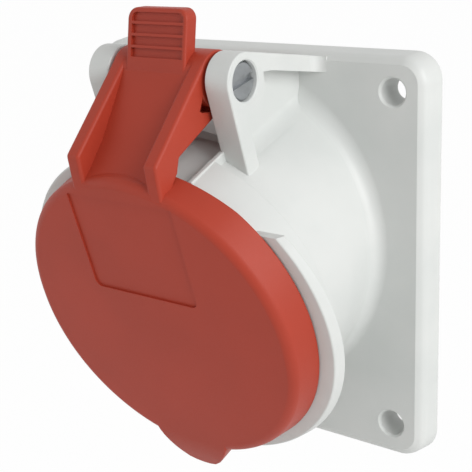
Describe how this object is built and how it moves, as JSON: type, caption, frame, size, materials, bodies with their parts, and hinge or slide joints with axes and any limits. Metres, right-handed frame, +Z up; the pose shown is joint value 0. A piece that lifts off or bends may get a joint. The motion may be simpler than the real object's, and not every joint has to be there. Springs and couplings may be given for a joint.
{
  "type": "industrial panel socket",
  "caption": "Industrial panel socket with an inclined round throat on a square flange and a sprung hinged red lid.",
  "frame": {"origin": "centre of the square flange's bolt pattern, in the plane of its back face", "axes": "+Z up, +X to the right seen from the front, the lid faces -Y and the panel lies behind at +Y"},
  "size_m": [0.085, 0.0694, 0.0985],
  "materials": {
    "grey_housing": "light grey moulded polyamide, satin",
    "red_lid": "red moulded polyamide, satin",
    "red_insert": "red moulded polyamide insert, satin",
    "black_block": "black moulded polyamide",
    "black_rubber": "soft black rubber",
    "pin_steel": "zinc plated steel",
    "spring_steel": "stainless spring steel",
    "screw_steel": "zinc plated steel",
    "contact_brass": "turned brass"
  },
  "bodies": {
    "housing_body": {"housing": "grey_housing", "flange_gasket": "black_rubber", "hinge_pin": "pin_steel", "lid_spring": "spring_steel", "contact_carrier": "red_insert", "terminal_block": "black_block", "carrier_screw": "screw_steel", "lock_ring": "spring_steel", "terminal_screws": "screw_steel", "contact_pe": "contact_brass", "contact_clip_pe": "spring_steel", "contact_n": "contact_brass", "contact_clip_n": "spring_steel", "contact_l1": "contact_brass", "contact_clip_l1": "spring_steel", "contact_l2": "contact_brass", "contact_clip_l2": "spring_steel", "contact_l3": "contact_brass", "contact_clip_l3": "spring_steel"},
    "lid_body": {"lid": "red_lid", "lid_gasket": "black_rubber"}
  },
  "joints": [
    {"name": "lid_hinge", "type": "hinge", "parent": "housing_body", "child": "lid_body", "pos_m": [0, -0.0306, 0.0395], "axis": [-1, 0, 0], "range_deg": [0, 115], "stiffness_Nm_per_rad": 0.02, "springref_deg": -45.84, "deforming": ["lid_spring"]}
  ]
}
